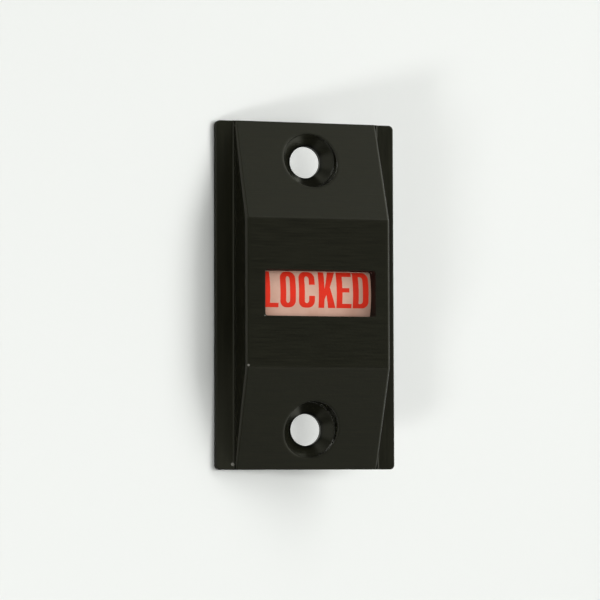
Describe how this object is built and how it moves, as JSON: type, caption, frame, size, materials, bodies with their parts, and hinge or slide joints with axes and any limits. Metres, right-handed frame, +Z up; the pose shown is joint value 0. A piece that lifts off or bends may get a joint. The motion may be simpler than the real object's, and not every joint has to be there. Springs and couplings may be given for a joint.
{
  "type": "door lock indicator",
  "caption": "Ribbed black metal plate for a door stile: its window shows a white drum lettered in red or green, which a sprung crank behind it turns.",
  "frame": {"origin": "centre of the back face that lies on the door stile, midway between the two screw holes", "axes": "+Z up the plate along its length, -Y out of the front, +X to the right seen from the front"},
  "size_m": [0.0408, 0.0239, 0.0762],
  "materials": {
    "black_anodised": "satin black anodised, machined",
    "zinc_plate": "zinc plated",
    "bright_steel": "bright, turned",
    "spring_steel": "oiled, dark",
    "bronze": "sintered, matt",
    "white_acetal": "moulded, satin",
    "locked_film": "printed film with red letters",
    "open_film": "printed film with green letters",
    "black_acetal": "moulded, satin",
    "black_rubber": "matt"
  },
  "bodies": {
    "frame": {"housing": "black_anodised", "carrier_bracket": "zinc_plate", "bracket_screws": "bright_steel", "lock_washers": "bright_steel", "left_bush": "bronze", "right_bush": "bronze", "return_spring": "spring_steel", "stop_pads": "black_rubber"},
    "indicator": {"indicator_drum": "white_acetal", "locked_label": "locked_film", "open_label": "open_film", "pivot_pin": "bright_steel", "pivot_clips": "spring_steel", "crank_arm": "zinc_plate", "arm_rivets": "bright_steel", "drive_pin": "bright_steel", "roller_washer": "bright_steel", "roller_clip": "spring_steel"},
    "roller": {"drive_roller": "black_acetal"}
  },
  "joints": [
    {"name": "indicator_turn", "type": "hinge", "parent": "frame", "child": "indicator", "pos_m": [0, 0.0044, 0], "axis": [1, 0, 0], "range_deg": [0, 60], "stiffness_Nm_per_rad": 0.004, "springref_deg": -40.11, "deforming": ["return_spring"]},
    {"name": "roller_spin", "type": "hinge", "parent": "indicator", "child": "roller", "pos_m": [0.0073, 0.01046, -0.0035], "axis": [1, 0, 0], "continuous": true}
  ]
}
